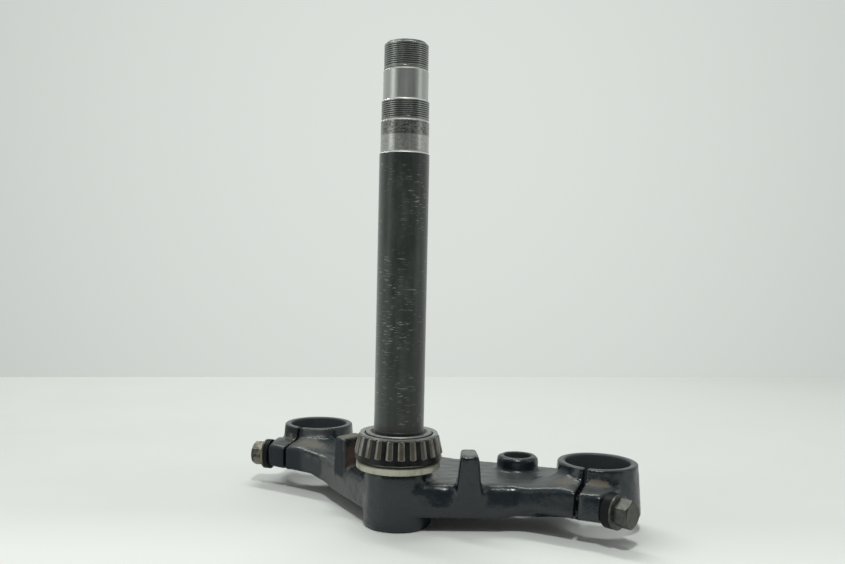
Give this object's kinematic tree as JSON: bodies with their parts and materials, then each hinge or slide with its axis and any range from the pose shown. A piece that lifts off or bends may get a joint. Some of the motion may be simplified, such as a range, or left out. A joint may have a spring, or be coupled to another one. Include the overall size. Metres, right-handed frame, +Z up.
{
  "type": "motorcycle triple clamp",
  "caption": "Lower motorcycle fork yoke: black cast arms with two split clamp rings and pinch bolts, a stepped steel steering stem, and a tapered roller head bearing on its seat.",
  "frame": {"origin": "on the steering stem's axis, at the flat foot of the stem boss", "axes": "+Z up the steering stem, +Y forward to the fork legs, +X to the side with the lock boss"},
  "size_m": [0.2669, 0.1114, 0.281],
  "materials": {
    "black_paint": "gloss black paint over a cast alloy yoke, worn at its edges and dirty in its corners",
    "stem_steel": "turned steel, dark and scuffed on the tube and bright on the seats",
    "cream_rubber": "matt cream seal",
    "bearing_steel": "ground bearing steel with an oily brown film",
    "cage_steel": "pressed steel, darkened by grease",
    "zinc_steel": "dull zinc plating with brown stains",
    "black_steel": "blacked steel"
  },
  "bodies": {
    "clamp": {"yoke": "black_paint", "steering_stem": "stem_steel", "dust_seal": "cream_rubber", "bearing_inner_race": "bearing_steel", "left_pinch_bolt": "zinc_steel", "left_washer": "black_steel", "right_pinch_bolt": "zinc_steel", "right_washer": "black_steel"},
    "cage": {"bearing_cage": "cage_steel"},
    "roller_01": {"roller_01": "bearing_steel"},
    "roller_02": {"roller_02": "bearing_steel"},
    "roller_03": {"roller_03": "bearing_steel"},
    "roller_04": {"roller_04": "bearing_steel"},
    "roller_05": {"roller_05": "bearing_steel"},
    "roller_06": {"roller_06": "bearing_steel"},
    "roller_07": {"roller_07": "bearing_steel"},
    "roller_08": {"roller_08": "bearing_steel"},
    "roller_09": {"roller_09": "bearing_steel"},
    "roller_10": {"roller_10": "bearing_steel"},
    "roller_11": {"roller_11": "bearing_steel"},
    "roller_12": {"roller_12": "bearing_steel"},
    "roller_13": {"roller_13": "bearing_steel"},
    "roller_14": {"roller_14": "bearing_steel"},
    "roller_15": {"roller_15": "bearing_steel"},
    "roller_16": {"roller_16": "bearing_steel"},
    "roller_17": {"roller_17": "bearing_steel"},
    "roller_18": {"roller_18": "bearing_steel"},
    "roller_19": {"roller_19": "bearing_steel"},
    "roller_20": {"roller_20": "bearing_steel"},
    "roller_21": {"roller_21": "bearing_steel"},
    "roller_22": {"roller_22": "bearing_steel"}
  },
  "joints": [
    {"name": "cage_spin", "type": "hinge", "parent": "clamp", "child": "cage", "pos_m": [0, 0, 0.0475], "axis": [0, 0, 1], "continuous": true},
    {"name": "roller_01_spin", "type": "hinge", "parent": "cage", "child": "roller_01", "pos_m": [0.02188, 0.00405, 0.0475], "axis": [-0.196, -0.0363, 0.9799], "continuous": true},
    {"name": "roller_02_spin", "type": "hinge", "parent": "cage", "child": "roller_02", "pos_m": [0.01985, 0.01005, 0.0475], "axis": [-0.1779, -0.0901, 0.9799], "continuous": true},
    {"name": "roller_03_spin", "type": "hinge", "parent": "cage", "child": "roller_03", "pos_m": [0.01621, 0.01524, 0.0475], "axis": [-0.1453, -0.1365, 0.9799], "continuous": true},
    {"name": "roller_04_spin", "type": "hinge", "parent": "cage", "child": "roller_04", "pos_m": [0.01126, 0.01919, 0.0475], "axis": [-0.1009, -0.1719, 0.9799], "continuous": true},
    {"name": "roller_05_spin", "type": "hinge", "parent": "cage", "child": "roller_05", "pos_m": [0.0054, 0.02158, 0.0475], "axis": [-0.0484, -0.1934, 0.9799], "continuous": true},
    {"name": "roller_06_spin", "type": "hinge", "parent": "cage", "child": "roller_06", "pos_m": [-0.0009, 0.02223, 0.0475], "axis": [0.0081, -0.1992, 0.9799], "continuous": true},
    {"name": "roller_07_spin", "type": "hinge", "parent": "cage", "child": "roller_07", "pos_m": [-0.00713, 0.02108, 0.0475], "axis": [0.0639, -0.1889, 0.9799], "continuous": true},
    {"name": "roller_08_spin", "type": "hinge", "parent": "cage", "child": "roller_08", "pos_m": [-0.01278, 0.01822, 0.0475], "axis": [0.1145, -0.1632, 0.9799], "continuous": true},
    {"name": "roller_09_spin", "type": "hinge", "parent": "cage", "child": "roller_09", "pos_m": [-0.01739, 0.01388, 0.0475], "axis": [0.1558, -0.1244, 0.9799], "continuous": true},
    {"name": "roller_10_spin", "type": "hinge", "parent": "cage", "child": "roller_10", "pos_m": [-0.0206, 0.00842, 0.0475], "axis": [0.1846, -0.0754, 0.9799], "continuous": true},
    {"name": "roller_11_spin", "type": "hinge", "parent": "cage", "child": "roller_11", "pos_m": [-0.02213, 0.00227, 0.0475], "axis": [0.1983, -0.0204, 0.9799], "continuous": true},
    {"name": "roller_12_spin", "type": "hinge", "parent": "cage", "child": "roller_12", "pos_m": [-0.02188, -0.00405, 0.0475], "axis": [0.196, 0.0363, 0.9799], "continuous": true},
    {"name": "roller_13_spin", "type": "hinge", "parent": "cage", "child": "roller_13", "pos_m": [-0.01985, -0.01005, 0.0475], "axis": [0.1779, 0.0901, 0.9799], "continuous": true},
    {"name": "roller_14_spin", "type": "hinge", "parent": "cage", "child": "roller_14", "pos_m": [-0.01621, -0.01524, 0.0475], "axis": [0.1453, 0.1365, 0.9799], "continuous": true},
    {"name": "roller_15_spin", "type": "hinge", "parent": "cage", "child": "roller_15", "pos_m": [-0.01126, -0.01919, 0.0475], "axis": [0.1009, 0.1719, 0.9799], "continuous": true},
    {"name": "roller_16_spin", "type": "hinge", "parent": "cage", "child": "roller_16", "pos_m": [-0.0054, -0.02158, 0.0475], "axis": [0.0484, 0.1934, 0.9799], "continuous": true},
    {"name": "roller_17_spin", "type": "hinge", "parent": "cage", "child": "roller_17", "pos_m": [0.0009, -0.02223, 0.0475], "axis": [-0.0081, 0.1992, 0.9799], "continuous": true},
    {"name": "roller_18_spin", "type": "hinge", "parent": "cage", "child": "roller_18", "pos_m": [0.00713, -0.02108, 0.0475], "axis": [-0.0639, 0.1889, 0.9799], "continuous": true},
    {"name": "roller_19_spin", "type": "hinge", "parent": "cage", "child": "roller_19", "pos_m": [0.01278, -0.01822, 0.0475], "axis": [-0.1145, 0.1632, 0.9799], "continuous": true},
    {"name": "roller_20_spin", "type": "hinge", "parent": "cage", "child": "roller_20", "pos_m": [0.01739, -0.01388, 0.0475], "axis": [-0.1558, 0.1244, 0.9799], "continuous": true},
    {"name": "roller_21_spin", "type": "hinge", "parent": "cage", "child": "roller_21", "pos_m": [0.0206, -0.00842, 0.0475], "axis": [-0.1846, 0.0754, 0.9799], "continuous": true},
    {"name": "roller_22_spin", "type": "hinge", "parent": "cage", "child": "roller_22", "pos_m": [0.02213, -0.00227, 0.0475], "axis": [-0.1983, 0.0204, 0.9799], "continuous": true}
  ],
  "couplings": [
    {"joint": "roller_01_spin", "follows": "cage_spin", "ratio": 7.456},
    {"joint": "roller_02_spin", "follows": "cage_spin", "ratio": 7.456},
    {"joint": "roller_03_spin", "follows": "cage_spin", "ratio": 7.456},
    {"joint": "roller_04_spin", "follows": "cage_spin", "ratio": 7.456},
    {"joint": "roller_05_spin", "follows": "cage_spin", "ratio": 7.456},
    {"joint": "roller_06_spin", "follows": "cage_spin", "ratio": 7.456},
    {"joint": "roller_07_spin", "follows": "cage_spin", "ratio": 7.456},
    {"joint": "roller_08_spin", "follows": "cage_spin", "ratio": 7.456},
    {"joint": "roller_09_spin", "follows": "cage_spin", "ratio": 7.456},
    {"joint": "roller_10_spin", "follows": "cage_spin", "ratio": 7.456},
    {"joint": "roller_11_spin", "follows": "cage_spin", "ratio": 7.456},
    {"joint": "roller_12_spin", "follows": "cage_spin", "ratio": 7.456},
    {"joint": "roller_13_spin", "follows": "cage_spin", "ratio": 7.456},
    {"joint": "roller_14_spin", "follows": "cage_spin", "ratio": 7.456},
    {"joint": "roller_15_spin", "follows": "cage_spin", "ratio": 7.456},
    {"joint": "roller_16_spin", "follows": "cage_spin", "ratio": 7.456},
    {"joint": "roller_17_spin", "follows": "cage_spin", "ratio": 7.456},
    {"joint": "roller_18_spin", "follows": "cage_spin", "ratio": 7.456},
    {"joint": "roller_19_spin", "follows": "cage_spin", "ratio": 7.456},
    {"joint": "roller_20_spin", "follows": "cage_spin", "ratio": 7.456},
    {"joint": "roller_21_spin", "follows": "cage_spin", "ratio": 7.456},
    {"joint": "roller_22_spin", "follows": "cage_spin", "ratio": 7.456}
  ]
}
